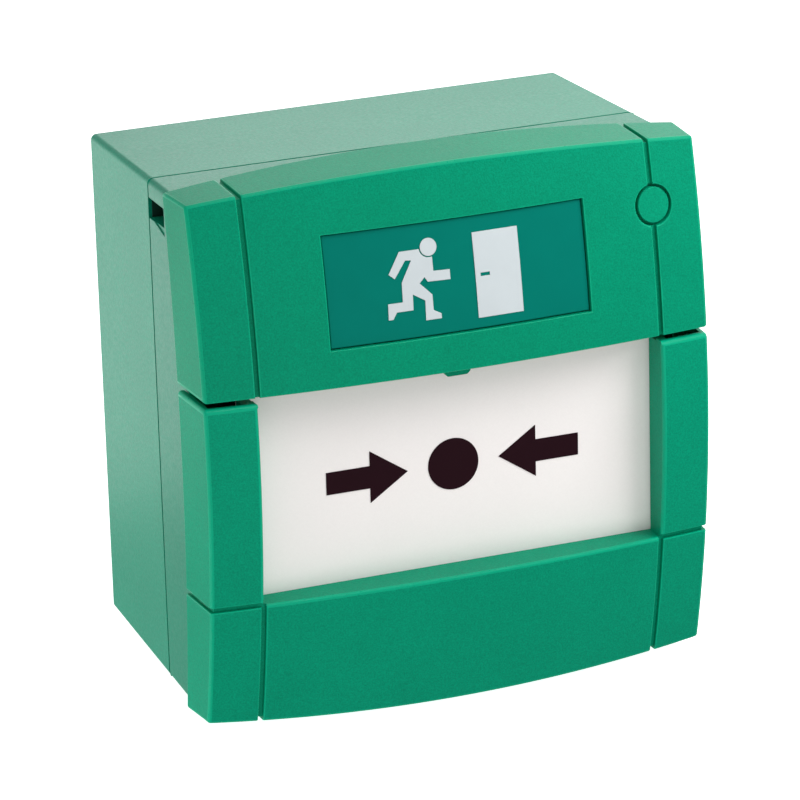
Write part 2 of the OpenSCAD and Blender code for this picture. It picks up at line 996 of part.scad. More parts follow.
module board_parts() {
    w = header_wall;
    color([0.75, 0.65, 0.45]) {
        for (z = resistor_zs) resistor(z);
        difference() {
            block(header_x, [board_rear - header_h, board_rear], header_z);
            block(header_x + [w, -w], [board_rear - header_h - 1, board_rear - 1],
                header_z + [w, -w]);
        }
    }
}

module each_way() {
    for (i = [0 : ways - 1]) translate([0, 0, (i - (ways - 1) / 2) * way_pitch]) children();
}

module terminal_block() {
    right = block_x + block_half;
    color([0.1, 0.35, 0.2]) difference() {
        block(span(block_x, block_half), [block_rear, board_rear],
            span(0, ways * way_pitch / 2));
        each_way() {
            depth_rod(block_x, 0, clamp_head_r + 0.1, [block_rear - 1, block_rear + way_mouth[0]]);
            block([block_x - way_half, right + 1],
                [block_rear + way_mouth[0], block_rear + way_mouth[1]], span(0, way_half));
        }
        for (z = guide_zs)
            depth_rod(-guide_x, z, guide_r + 0.8, [guide_stop - 0.2, board_front]);
    }
}

module terminal_cages() {
    color(steel) each_way() difference() {
        block(span(block_x, cage_half), [block_rear + cage_d[0], block_rear + cage_d[1]],
            span(0, cage_half));
        block(span(block_x, cage_half + 1),
            [block_rear + cage_hole_d[0], block_rear + cage_hole_d[1]], span(0, cage_hole_half));
        depth_rod(block_x, 0, clamp_r + 0.05, [block_rear + 2, block_rear + 5]);
    }
}

module terminal_screws() {
    seat = block_rear + way_mouth[0];
    color(steel) each_way() difference() {
        union() {
            depth_rod(block_x, 0, clamp_head_r, [block_rear + 1, seat], small_fn);
            depth_rod(block_x, 0, clamp_r, [seat - 0.1, seat + 2.6], small_fn);
        }
        block(span(block_x, clamp_head_r + 0.5), [block_rear, block_rear + 1.9],
            span(0, 0.35));
    }
}

// ---------- switch ----------

module switch_body() {
    z0 = switch_z - switch_t / 2;
    z1 = switch_z + switch_t / 2;
    ear = span(pivot_x, ear_half);
    ear_d = [switch_front - 1, pivot_d + 1.3];
    color([0.15, 0.15, 0.17]) difference() {
        union() {
            block(switch_x, [switch_rear, switch_front], [z0, z1]);
            block(ear, ear_d, [z0, z0 + ear_t]);
            block(ear, ear_d, [z1 - ear_t, z1]);
        }
        for (x = switch_screw_xs)
            upright_rod(x, switch_screw_d, [z0 - 1, z1 + 1], switch_screw_r + 0.1);
        upright_rod(pivot_x, pivot_d, [z0 - 1, z1 + 1], pivot_r + 0.03);
        depth_rod(plunger_x, switch_z, plunger_r + run_fit,
            [switch_front - 4.5, switch_front + 1]);
    }
}

module switch_terminals() {
    color(brass) for (x = tag_xs) difference() {
        block(span(x, tag_half[0]), [tag_rear, switch_rear], span(switch_z, tag_half[1]));
        cross_rod([x - 1, x + 1], tag_rear + 1.5, switch_z, 0.7, small_fn);
    }
}

module switch_screws() {
    top = switch_z + switch_t / 2;
    head_r = 2 * switch_screw_r;
    head_top = top + 1.3;
    color(steel) for (x = switch_screw_xs) difference() {
        union() {
            upright_rod(x, switch_screw_d, [switch_z - 5, top + 0.1], switch_screw_r, small_fn);
            upright_rod(x, switch_screw_d, [top, head_top], head_r, small_fn);
        }
        block(span(x, head_r + 0.1), span(switch_screw_d, 0.25), [head_top - 0.6, head_top + 0.1]);
    }
}

module switch_lever() {
    color(steel) difference() {
        union() {
            upright_rod(pivot_x, pivot_d, span(switch_z, lever_half + 0.1), lever_hub_r);
            block([pivot_x, lever_end], [lever_top - lever_t, lever_top],
                span(switch_z, lever_half));
        }
        upright_rod(pivot_x, pivot_d, span(switch_z, lever_half + 1), pivot_r + run_fit);
    }
}

module lever_pin() {
    color(steel) upright_rod(pivot_x, pivot_d, span(switch_z, switch_t / 2 - 0.1), pivot_r);
}

module switch_plunger() {
    color([0.8, 0.1, 0.1]) depth_rod(plunger_x, switch_z, plunger_r,
        [switch_front - 3, lever_top - 0.5]);
}

// ---------- key cam ----------

module key_cam() {
    keyway_z = [cam_z[0] - 0.5, cam_z[0] + 4.5];
    color([0.85, 0.85, 0.82]) difference() {
        union() {
            upright_rod(0, cam_d, cam_z, cam_r);
            upright_rod(cam_pin_x, cam_d, [cam_z[1] - eps, cam_pin_top], cam_pin_r);
        }
        block(span(0, 3.2), span(cam_d, 0.8), keyway_z);
        upright_rod(0, cam_d, keyway_z, 1.6);
        difference() {
            upright_rod(0, cam_d, span(clip_z, 0.4), cam_r + 1);
            upright_rod(0, cam_d, span(clip_z, 1), cam_r - 0.7);
        }
    }
}

module cam_clip() {
    color(steel) difference() {
        upright_rod(0, cam_d, span(clip_z, clip_half), cam_r + clip_rim);
        upright_rod(0, cam_d, span(clip_z, 1), cam_r - clip_seat);
        block([-2, 2], [cam_d, cam_d + 8], span(clip_z, 1));
    }
}

back_box();
joint_gasket();
post_inserts();
earth_terminal();
earth_screw();
front_housing();
top_cover();
hinge_pins();
sign_panel();
pictogram();
indicator_blank();
operating_plate();
plate_symbols();
plate_carrier();
return_springs();
drop_flag();
chassis();
chassis_screws();
unit_screws();
circuit_board();
board_screws();
board_parts();
terminal_block();
terminal_cages();
terminal_screws();
switch_body();
switch_terminals();
switch_screws();
switch_lever();
lever_pin();
switch_plunger();
key_cam();
cam_clip();
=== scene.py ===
"""Looks of the manual call point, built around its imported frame.

Shapes are worked out in millimetres. The front mouldings are first cut as
straight blocks, where x runs to the right, t runs back from the front face and
z runs up. They are then bent onto the doubly curved front by bend_to_front().
"""
import math

import bmesh
import bpy
from mathutils import Matrix, Vector


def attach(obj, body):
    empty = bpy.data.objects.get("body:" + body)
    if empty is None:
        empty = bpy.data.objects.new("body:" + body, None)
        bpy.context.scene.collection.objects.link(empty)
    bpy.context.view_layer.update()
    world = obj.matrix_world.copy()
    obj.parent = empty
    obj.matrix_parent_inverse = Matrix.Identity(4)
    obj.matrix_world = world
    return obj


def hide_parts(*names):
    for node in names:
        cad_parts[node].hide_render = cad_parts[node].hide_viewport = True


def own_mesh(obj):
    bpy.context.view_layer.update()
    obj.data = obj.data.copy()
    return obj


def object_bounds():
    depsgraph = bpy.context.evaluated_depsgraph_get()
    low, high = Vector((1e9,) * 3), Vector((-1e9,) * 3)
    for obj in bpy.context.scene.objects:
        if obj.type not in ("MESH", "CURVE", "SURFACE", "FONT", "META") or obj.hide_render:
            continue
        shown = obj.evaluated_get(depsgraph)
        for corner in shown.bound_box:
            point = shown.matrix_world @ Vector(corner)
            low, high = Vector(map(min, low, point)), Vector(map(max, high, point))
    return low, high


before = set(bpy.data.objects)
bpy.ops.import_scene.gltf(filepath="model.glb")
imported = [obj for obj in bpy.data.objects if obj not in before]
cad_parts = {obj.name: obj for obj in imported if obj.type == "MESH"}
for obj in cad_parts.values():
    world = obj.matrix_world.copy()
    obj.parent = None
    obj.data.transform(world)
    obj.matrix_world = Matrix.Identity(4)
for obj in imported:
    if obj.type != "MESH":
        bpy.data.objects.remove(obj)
cad_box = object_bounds()

MM = 0.001

# ---------- sizes, in millimetres ----------

# front face: a doubly curved surface given by its depth from the wall
FRONT_D = 60.7
BULGE_X = 710.0
BULGE_Z = 346.0
BULGE_MIDDLE_Z = -1.4

# straight block that bend_to_front() starts from
FLAT_X = 44.0
FLAT_Z = 44.5
FLAT_T = 11.0
STRAIGHT_T = 2.4
ARCH_START_TOP = 38.6
ARCH_START_LOW = 24.8

# ridge round the front face, and lip at the rear edge of the front section
RIDGE_X = 43.8
LIP_X = 44.45
RIDGE_TOP = (46.7, 447.0)
RIDGE_LOW = (-45.35, 423.0)
LIP_TOP = (47.2, 365.0)
LIP_LOW = (-45.85, 412.0)
LIP_D = 46.9
LIP_MIDDLE_Z = -4.0
LIP_R = 300.0

WALL = 2.2
COVER_Z = 13.4
FRAME_Z = 12.35
WINDOW_X = 35.04
LEDGE_Z = -22.05
WINDOW_WALL = 1.96
WALL_END_D = 53.4
WALL_END_T = 5.0
GROOVE_HALF = 0.42
GROOVE_T = 0.7

# ---------- the front face and the bend onto it ----------


def front_depth(x, z):
    """Depth of the front face from the wall."""
    return FRONT_D - x * x / BULGE_X - (z - BULGE_MIDDLE_Z) ** 2 / BULGE_Z


def lip_depth(z):
    """Depth of the rear edge of the front section."""
    return LIP_D - (z - LIP_MIDDLE_Z) ** 2 / (2 * LIP_R)


def smooth(value, start, end):
    """0 at start, 1 at end, and level at both."""
    share = min(1.0, max(0.0, (value - start) / (end - start)))
    return share * share * (3 - 2 * share)


def mix(a, b, share):
    """The value a given share of the way from a to b."""
    return a + (b - a) * share


def arched_height(x, share, ridge, lip):
    """Height of the arched top or bottom edge, between the ridge and the lip."""
    middle = mix(ridge[0], lip[0], share)
    radius = mix(ridge[1], lip[1], share)
    return middle - math.copysign(x * x / (2 * radius), middle)


def bend_to_front(x, t, z):
    """Moves a point of the straight block to its place on the curved front."""
    share = max(0.0, t / FLAT_T)
    half = mix(RIDGE_X, LIP_X, share)
    real_x = x * mix(1.0, half / FLAT_X, smooth(abs(x), WINDOW_X + 1, FLAT_X))
    top = arched_height(real_x, share, RIDGE_TOP, LIP_TOP)
    low = arched_height(real_x, share, RIDGE_LOW, LIP_LOW)
    real_z = (z + (top - FLAT_Z) * smooth(z, ARCH_START_TOP, FLAT_Z)
              + (low + FLAT_Z) * smooth(-z, ARCH_START_LOW, FLAT_Z))
    front = front_depth(real_x, real_z)
    in_window_wall = (abs(x) < WINDOW_X + WINDOW_WALL + 0.1
                      and LEDGE_Z - WINDOW_WALL - 0.1 < z < COVER_Z - 0.1)
    if in_window_wall:
        scale = (front - GROOVE_T - WALL_END_D) / (WALL_END_T - GROOVE_T)
        depth = front - min(t, GROOVE_T) - max(0.0, t - GROOVE_T) * scale
    else:
        rear = max(0.0, t - STRAIGHT_T) / (FLAT_T - STRAIGHT_T)
        depth = front - min(t, STRAIGHT_T) - rear * (front - STRAIGHT_T - lip_depth(real_z))
    return real_x, -depth, real_z


# ---------- mesh helpers ----------

# The edge slot holds a lighter copy of the face material, a painted highlight on the rounded
# edges.
FACE_SLOT, EDGE_SLOT, STRIP_SLOT = 0, 1, 2  # materials of a moulding's faces, edges and strip
OUT = 2.0  # how far cutters reach beyond what they cut
SINK = 0.5  # how far joined pieces sink into each other
SAME_PLACE = 1e-4
LOST_SHARE = 0.5  # a boolean that keeps fewer of the faces than this has failed
ROUNDED_ANGLE = 20  # degrees over which an edge may be rounded
SHARP_ANGLE = 32  # degrees over which an edge stays sharp in the shading
FACE_WEIGHT = 80  # large faces decide the shading of their corners
SAME_PLACE_M = 2e-6
FLAT_ANGLE = 0.5  # degrees; faces that turn less are joined before rounding
SLACK = 0.02  # how exactly an edge has to lie on a plane to be found there


def link(name, mesh):
    """Puts a mesh in the scene as an object."""
    obj = bpy.data.objects.new(name, mesh)
    bpy.context.scene.collection.objects.link(obj)
    return obj


def finished(obj):
    """The object's mesh with its modifiers applied."""
    graph = bpy.context.evaluated_depsgraph_get()
    mesh = bpy.data.meshes.new_from_object(obj.evaluated_get(graph))
    old = obj.data
    obj.modifiers.clear()
    obj.data = mesh
    bpy.data.meshes.remove(old)
    return obj


def add_box(bm, x, y, z):
    """Adds a box given by its x, y and z ranges."""
    lows = Vector((x[0], y[0], z[0]))
    size = Vector((x[1], y[1], z[1])) - lows
    matrix = Matrix.Translation(lows + size / 2) @ Matrix.Diagonal((*size, 1.0))
    bmesh.ops.create_cube(bm, size=1.0, matrix=matrix)


def add_rod(bm, start, end, radius, sides=48):
    """Adds a solid round rod between two points."""
    start, end = Vector(start), Vector(end)
    along = end - start
    matrix = (Matrix.Translation((start + end) / 2)
              @ along.to_track_quat("Z", "Y").to_matrix().to_4x4())
    bmesh.ops.create_cone(bm, cap_ends=True, segments=sides, radius1=radius,
                          radius2=radius, depth=along.length, matrix=matrix)


def add_prism(bm, rows):
    """Closes two matching outlines into a solid."""
    bm.faces.new(rows[0])
    bm.faces.new(reversed(rows[1]))
    count = len(rows[0])
    for i in range(count):
        j = (i + 1) % count
        bm.faces.new((rows[0][i], rows[0][j], rows[1][j], rows[1][i]))
    bmesh.ops.recalc_face_normals(bm, faces=bm.faces)


def solid(name, build):
    """A linked object whose mesh build(bm) fills."""
    bm = bmesh.new()
    build(bm)
    mesh = bpy.data.meshes.new(name)
    bm.to_mesh(mesh)
    bm.free()
    for _ in (FACE_SLOT, EDGE_SLOT):
        mesh.materials.append(None)
    return link(name, mesh)


def boxes(name, ranges):
    """One object made of boxes, each given by its x, y and z ranges."""
    def build(bm):
        for x, y, z in ranges:
            add_box(bm, x, y, z)
    return solid(name, build)


def rod(name, start, end, radius, sides=48):
    """A solid round bar from start to end."""
    return solid(name, lambda bm: add_rod(bm, start, end, radius, sides))


def mirror_range(side, ends):
    """A range of x on the right (1) or mirrored to the left (-1)."""
    return tuple(sorted(side * end for end in ends))


def mirrored(ranges):
    """The same boxes on both sides of the middle."""
    return [(mirror_range(side, x), y, z) for x, y, z in ranges for side in (1, -1)]


def boolean(obj, tool, operation):
    """Cuts obj with tool, or joins them, and removes tool."""
    modifier = obj.modifiers.new("bool", "BOOLEAN")
    modifier.operation = operation
    modifier.solver = "EXACT"
    modifier.use_self = True
    modifier.object = tool
    faces_before = len(obj.data.polygons)
    finished(obj)
    if len(obj.data.polygons) < faces_before * LOST_SHARE:
        raise RuntimeError(f"the boolean with {tool.name} lost the shape of {obj.name}")
    bpy.data.objects.remove(tool)
    return obj


def round_edges(obj, radius_of, largest, segments=3, clamp=True):
    """Rounds each edge by radius_of(middle, direction); clamp lets short edges limit it."""
    bm = bmesh.new()
    bm.from_mesh(obj.data)
    bmesh.ops.remove_doubles(bm, verts=bm.verts, dist=SAME_PLACE)
    bmesh.ops.dissolve_limit(bm, angle_limit=math.radians(FLAT_ANGLE),
                             verts=bm.verts, edges=bm.edges)
    weights = bm.edges.layers.float
    layer = weights.get("bevel_weight_edge") or weights.new("bevel_weight_edge")
    for edge in bm.edges:
        edge[layer] = 0.0
        if len(edge.link_faces) != 2 or edge.calc_face_angle(0) < math.radians(ROUNDED_ANGLE):
            continue
        a, b = edge.verts
        direction = (b.co - a.co).normalized()
        edge[layer] = radius_of((a.co + b.co) / 2, direction) / largest
    bm.to_mesh(obj.data)
    bm.free()
    modifier = obj.modifiers.new("round", "BEVEL")
    modifier.limit_method = "WEIGHT"
    modifier.width = largest
    modifier.segments = segments
    modifier.use_clamp_overlap = clamp
    modifier.miter_outer = "MITER_SHARP"
    # the rounded faces take the edge slot, whose lighter colour is a painted highlight
    modifier.material = EDGE_SLOT
    return finished(obj)


def slice_up(obj, axis, positions):
    """Cuts the mesh by planes across one axis, so that it can be bent smoothly."""
    bm = bmesh.new()
    bm.from_mesh(obj.data)
    bmesh.ops.triangulate(bm, faces=[f for f in bm.faces if len(f.verts) > 4])
    normal = Vector([float(i == axis) for i in range(3)])
    for position in positions:
        bmesh.ops.bisect_plane(bm, geom=bm.verts[:] + bm.edges[:] + bm.faces[:],
                               dist=1e-5, plane_co=normal * position, plane_no=normal)
    bm.to_mesh(obj.data)
    bm.free()


def steps(start, end, step):
    """Even positions from start to end, about a step apart."""
    count = max(1, round((end - start) / step))
    return [mix(start, end, i / count) for i in range(count + 1)]


def move_points(obj, place):
    """Moves every point to place(x, y, z)."""
    for vertex in obj.data.vertices:
        vertex.co = place(*vertex.co)


def to_metres(obj):
    """Scales to metres and shades smoothly, apart from edges over the sharp angle."""
    obj.data.transform(Matrix.Scale(MM, 4))
    bm = bmesh.new()
    bm.from_mesh(obj.data)
    bmesh.ops.remove_doubles(bm, verts=bm.verts, dist=SAME_PLACE_M)
    bmesh.ops.dissolve_degenerate(bm, dist=1e-6, edges=bm.edges)
    bmesh.ops.recalc_face_normals(bm, faces=bm.faces)
    bm.to_mesh(obj.data)
    bm.free()
    mesh = obj.data
    mesh.shade_smooth()
    mesh.set_sharp_from_angle(angle=math.radians(SHARP_ANGLE))
    weighted = obj.modifiers.new("normals", "WEIGHTED_NORMAL")
    weighted.keep_sharp = True
    weighted.weight = FACE_WEIGHT
    return obj


def near(value, target):
    """Whether a coordinate lies on a plane."""
    return abs(value - target) < SLACK


# ---------- front mouldings ----------

GROOVE_X = (WINDOW_X - GROOVE_HALF, WINDOW_X + GROOVE_HALF)


def groove_cutter(z, end):
    """Upright grooves on the front face, carried over the top (1) or bottom (-1) edge."""
    over_edge = mirror_range(end, (FLAT_Z - GROOVE_T, FLAT_Z + OUT))
    parts = [(GROOVE_X, (-OUT, GROOVE_T), z),
             (GROOVE_X, (-OUT, FLAT_T + OUT), over_edge)]
    return boxes("grooves", mirrored(parts))


# radii: the ridge round the front, its corners, the rear lip, and grooves and cut ends
RIDGE_R = 0.55
TOP_RIDGE_R = 0.45
END_CORNER_R = 0.5
CUT_CORNER_R = 0.75
LIP_EDGE_R = 0.35
GROOVE_R = 0.21
FINE_R = 0.22
SMOOTH_SEGMENTS = 6  # enough that no facet of a large radius turns by 20 degrees
FINE_SEGMENTS = 2
BEND_STEP = 2.0
BEND_STEP_T = 2.2


def block_edge_radius(end_z, end_r):
    """Rule for the edges of a straight block whose cut end is at end_z."""
    def radius(middle, direction):
        x, t, z = middle
        on_side, on_end, on_cut = near(abs(x), FLAT_X), near(abs(z), FLAT_Z), near(z, end_z)
        if near(t, 0):
            return RIDGE_R if on_side else TOP_RIDGE_R if on_end else end_r if on_cut else 0.0
        if on_side and (on_end or on_cut):
            return END_CORNER_R if on_end else CUT_CORNER_R
        return LIP_EDGE_R if near(t, FLAT_T) and (on_side or on_end) else 0.0
    return radius


def in_groove(x):
    """Whether x is inside one of the two upright grooves."""
    return abs(abs(x) - WINDOW_X) < GROOVE_HALF + SLACK


def bend_front_piece(obj, z_range):
    """Slices a straight block finely and bends it onto the front."""
    slice_up(obj, 0, steps(-FLAT_X, FLAT_X, BEND_STEP)[1:-1])
    slice_up(obj, 2, steps(*z_range, BEND_STEP)[1:-1])
    slice_up(obj, 1, steps(STRAIGHT_T, FLAT_T, BEND_STEP_T))
    move_points(obj, bend_to_front)
    return obj


# cover: sign, ring of the blank, walls, hinge, flag guides and tab
SIGN_W, SIGN_H, SIGN_Z = 44.7, 17.9, 28.65
SIGN_MARGIN = 0.2
SIGN_RECESS = 1.2
SIGN_GAP_T = 1.95
RING_X, RING_Z, RING_R = 35.3, 34.8, 3.35
COVER_WALL = 1.8
END_WALL_X = 39.5
HINGE_D, HINGE_Z = 44.0, 44.7
LUG_R = 1.3
LUGS = ((8.0, 11.8), (18.2, 22.0))
LUG_ROOM = 0.3
LUG_ROOM_T = 7.2
LUG_ROOM_SKIN = 0.7
KNUCKLE = (12.1, 17.9)
KNUCKLE_R = LUG_R + 0.1
FLAG_GUIDE_X = (36.5, 39.6)
FLAG_GUIDE_TOP = 23.0
FLAG_ROOM_D = 54.95
FLAG_ROOM_STEPS = 16
TAB_D = (55.0, 56.2)
TAB_Z = (11.2, 14.4)
TAB_HALF = (2.3, 1.7)
TAB_CORNER = 0.6
TAB_EDGE_R = 0.2


def cover_edge_radius(middle, direction):
    """Radius of the fine edges round the cover's grooves, ring and sign."""
    x, t, z = middle
    if z < COVER_Z + 0.3:
        return 0.0
    on_ring = abs(math.hypot(x - RING_X, z - RING_Z) - RING_R) < 0.05
    groove = in_groove(x) and (t < RIDGE_R or z > FLAT_Z - GROOVE_T - SLACK)
    if (near(t, 0) and on_ring) or (groove and not near(t, GROOVE_T)):
        return GROOVE_R
    if near(t, 0) and abs(x) < SIGN_W / 2 + 1 and abs(z - SIGN_Z) < SIGN_H / 2 + 1:
        return GROOVE_R
    return 0.0


def add_flag_room(bm):
    """Room for the falling flag behind the cover's bottom wall, flat to the wall once bent."""
    outline = []
    for i in range(FLAG_ROOM_STEPS + 1):
        x = mix(-END_WALL_X, END_WALL_X, i / FLAG_ROOM_STEPS)
        rest = front_depth(x, COVER_Z) - STRAIGHT_T
        rear = (rest - FLAG_ROOM_D) / (rest - lip_depth(COVER_Z))
        outline.append((x, STRAIGHT_T + rear * (FLAT_T - STRAIGHT_T)))
    outline += [(END_WALL_X, FLAT_T + OUT), (-END_WALL_X, FLAT_T + OUT)]
    levels = (COVER_Z - OUT, COVER_Z + COVER_WALL + 1)
    add_prism(bm, [[bm.verts.new((x, t, z)) for x, t in outline] for z in levels])


def cover_cavity():
    """The hollow of the cover, with room for the hinge lugs and the flag guides."""
    inner_x = FLAT_X - WALL
    cavity = [((-inner_x, inner_x), (WALL, FLAT_T + OUT), (COVER_Z + COVER_WALL, FLAT_Z - WALL))]
    for near_x, far_x in LUGS:
        x = (near_x - LUG_ROOM, far_x + LUG_ROOM)
        z = (FLAT_Z - WALL - 1, FLAT_Z - LUG_ROOM_SKIN)
        cavity += [(mirror_range(side, x), (LUG_ROOM_T, FLAT_T + OUT), z) for side in (-1, 1)]
    guide = (FLAG_GUIDE_X, (WALL - SINK, FLAT_T), (COVER_Z + SINK, FLAG_GUIDE_TOP))
    return boxes("cavity", cavity + mirrored([guide]))


def cut_sign_place(cover):
    """A shallow recess for the sign panel, with a deeper gap round the panel's edge."""
    half_w, half_h = SIGN_W / 2 + SIGN_MARGIN, SIGN_H / 2 + SIGN_MARGIN
    z = (SIGN_Z - half_h, SIGN_Z + half_h)
    boolean(cover, boxes("recess", [((-half_w, half_w), (-OUT, SIGN_RECESS), z)]), "DIFFERENCE")
    gap = ((SIGN_W / 2, half_w), (0, SIGN_GAP_T), z)
    boolean(cover, boxes("side_gaps", mirrored([gap])), "DIFFERENCE")
    gaps = [((-half_w, half_w), (0, SIGN_GAP_T), (z[0], SIGN_Z - SIGN_H / 2)),
            ((-half_w, half_w), (0, SIGN_GAP_T), (SIGN_Z + SIGN_H / 2, z[1]))]
    boolean(cover, boxes("end_gaps", gaps), "DIFFERENCE")


def add_cover_extras(bm):
    """Hinge knuckles and the small tab below the middle."""
    for side in (-1, 1):
        a, b = mirror_range(side, KNUCKLE)
        add_rod(bm, (a, -HINGE_D, HINGE_Z), (b, -HINGE_D, HINGE_Z), KNUCKLE_R, 32)
    wide, narrow = TAB_HALF
    low, high = TAB_Z
    shoulder = low + TAB_CORNER
    profile = [(-wide, high), (-wide, shoulder), (-narrow, low),
               (narrow, low), (wide, shoulder), (wide, high)]
    add_prism(bm, [[bm.verts.new((x, -d, z)) for x, z in profile] for d in TAB_D])


def build_cover():
    """The cover with its window edge, hinge knuckles and tab."""
    z_range = (COVER_Z, FLAT_Z)
    cover = boxes("cover_shell", [((-FLAT_X, FLAT_X), (0, FLAT_T), z_range)])
    round_edges(cover, block_edge_radius(COVER_Z, FINE_R), CUT_CORNER_R, SMOOTH_SEGMENTS)
    boolean(cover, cover_cavity(), "DIFFERENCE")
    boolean(cover, solid("flag_room", add_flag_room), "DIFFERENCE")
    boolean(cover, groove_cutter((COVER_Z - OUT, FLAT_Z + OUT), 1), "DIFFERENCE")
    cut_sign_place(cover)
    ring = rod("ring", (RING_X, -OUT, RING_Z), (RING_X, SIGN_RECESS, RING_Z), RING_R, 96)
    boolean(cover, ring, "DIFFERENCE")
    round_edges(cover, cover_edge_radius, GROOVE_R, FINE_SEGMENTS, clamp=False)
    bend_front_piece(cover, z_range)
    small = solid("cover_extras", add_cover_extras)
    bevel = small.modifiers.new("round", "BEVEL")
    bevel.width = TAB_EDGE_R
    bevel.segments = FINE_SEGMENTS
    finished(small)
    return join([cover, small], "cover_shell")


def join(parts, name):
    """Joins meshes into one object, in millimetres."""
    bm = bmesh.new()
    for part in parts:
        bm.from_mesh(part.data)
    mesh = bpy.data.meshes.new(name)
    bm.to_mesh(mesh)
    bm.free()
    for part in parts:
        bpy.data.objects.remove(part)
    return link(name, mesh)


# lower frame: its top edges, the mouth of the window, and the rims of the hollow uprights
FRAME_TOP_R = 0.8
MOUTH_R = 0.6
MOUTH_SEGMENTS = 5
UPRIGHT_HOLLOW_X = (36.3, 42.9)
RIM_T = 1.15
RIM_DROP = 2.6
WALL_TOP_DROP = 0.4


def mouth_edge_radius(middle, direction):
    """Radius of the edges round the window."""
    x, t, z = middle
    if near(t, 0) and z > LEDGE_Z - SLACK and abs(x) < WINDOW_X + SLACK:
        return MOUTH_R
    if near(abs(x), WINDOW_X) and near(z, FRAME_Z):
        return FINE_R
    return 0.0


def frame_edge_radius(middle, direction):
    """Radius of the fine edges along the frame's grooves."""
    x, t, z = middle
    side = abs(z - LEDGE_Z) < GROOVE_HALF + SLACK and abs(x) > WINDOW_X + GROOVE_HALF
    upright = in_groove(x) and z < LEDGE_Z - GROOVE_HALF
    inner = GROOVE_T + SLACK
    over_edge = abs(x) > FLAT_X - inner if side else z < -FLAT_Z + inner
    if (side or upright) and (t < GROOVE_T - SLACK or over_edge):
        return GROOVE_R
    return 0.0


KEY_T = 5.58  # the cam's axis in the straight block
KEY_HOLE_R = 2.2
KEY_SLOT = (4.0, 0.9)
KEY_TOP_Z = -40.0
KEY_SLOT_SHORT = 0.3


def key_cutter():
    """The key hole through the bottom wall, in the straight block."""
    half_x, half_t = KEY_SLOT
    bottom = -FLAT_Z - OUT
    hole = rod("key", (0, KEY_T, bottom), (0, KEY_T, KEY_TOP_Z), KEY_HOLE_R)
    slot = ((-half_x, half_x), (KEY_T - half_t, KEY_T + half_t),
            (bottom + KEY_SLOT_SHORT, KEY_TOP_Z - KEY_SLOT_SHORT))
    return boolean(hole, boxes("key_slot", [slot]), "UNION")


def build_lower_frame():
    """The front of the housing: the two uprights and the part below the window."""
    z_range = (-FLAT_Z, FRAME_Z)
    lower = boxes("lower", [((-FLAT_X, FLAT_X), (0, FLAT_T), z_range)])
    round_edges(lower, block_edge_radius(FRAME_Z, FRAME_TOP_R), FRAME_TOP_R, SMOOTH_SEGMENTS)
    inner_x = FLAT_X - WALL
    wall_x = WINDOW_X + WINDOW_WALL
    hollow = [((-inner_x, inner_x), (WALL, FLAT_T + OUT), (-FLAT_Z + WALL, FRAME_Z + OUT))]
    boolean(lower, boxes("cavity", hollow), "DIFFERENCE")
    rims = [(UPRIGHT_HOLLOW_X, (RIM_T, FLAT_T + OUT), (FRAME_Z - RIM_DROP, FRAME_Z + OUT))]
    boolean(lower, boxes("rims", mirrored(rims)), "DIFFERENCE")
    walls = ((-wall_x, wall_x), (WALL - SINK, WALL_END_T),
             (LEDGE_Z - WINDOW_WALL, FRAME_Z - WALL_TOP_DROP))
    boolean(lower, boxes("walls", [walls]), "UNION")
    window = ((-WINDOW_X, WINDOW_X), (-OUT, FLAT_T + OUT), (LEDGE_Z, FRAME_Z + OUT))
    boolean(lower, boxes("window", [window]), "DIFFERENCE")
    round_edges(lower, mouth_edge_radius, MOUTH_R, MOUTH_SEGMENTS, clamp=False)
    boolean(lower, groove_cutter((-FLAT_Z - OUT, LEDGE_Z), -1), "DIFFERENCE")
    across = (LEDGE_Z - GROOVE_HALF, LEDGE_Z + GROOVE_HALF)
    side = [((WINDOW_X, FLAT_X + OUT), (-OUT, GROOVE_T), across),
            ((FLAT_X - GROOVE_T, FLAT_X + OUT), (-OUT, FLAT_T + OUT), across)]
    boolean(lower, boxes("side_grooves", mirrored(side)), "DIFFERENCE")
    boolean(lower, key_cutter(), "DIFFERENCE")
    round_edges(lower, frame_edge_radius, GROOVE_R, FINE_SEGMENTS, clamp=False)
    return bend_front_piece(lower, z_range)


# joint strip between the back box and the front section, and what it carries inside
UNIT_D = 31.1
BOX_D = 30.8
BOX_HALF = (42.8, 43.35)
DRAFT = (0.018, 0.029)
STRIP_R = 1.0
STRIP_GAP = 0.3
STRIP_IN_FRAME = 3.0
SOCKET_Z = (36.8, 40.2)
SOCKET_D = (35.2, 38.9)
SOCKET_FLOOR_X = 41.2
SOCKET_DEEP_X = 39.0
SOCKET_BACK_X = 37.6
SOCKET_RIM = 1.2
SOCKET_EDGE_R = 0.12
POCKET_R = 0.7
SOCKET_RAMP = (33.4, 1.2)
SOCKET_RAMP_X = BOX_HALF[0] - 0.25
SOCKET_BACK_WALL = 2.2
STRIP_END_R = 0.2
STRIP_END_D = 46.8  # housing faces nearer the wall than this can belong to the strip
STRIP_STEP_D, STRIP_STEP_Z = 4.0, 2.5
FLANGE_D = (42.4, 44.0)
FLANGE_HALF = (36.0, 36.6)
FLANGE_TOP = 42.0
BOSS_X, BOSS_R = 36.0, 2.9
BOSSES = ((32.0, 48.0), (-36.0, 50.0))
LUG_FOOT_Z = 40.5
PIN_R = 0.75
CAM_D, CAM_R, CAM_WALL = 50.0, 4.05, 2.2
CAM_Z = (-39.0, -31.0)
CAM_SEAT_Z = -41.6
THROUGH_Y = (-60, -40)  # from before the front face to behind the flange
PIN_HOLE_X = 25.0
PIN_PLAY = 0.03
FLANGE_GAP = 1.2
FLAG_GUIDE_LOW = 12.5


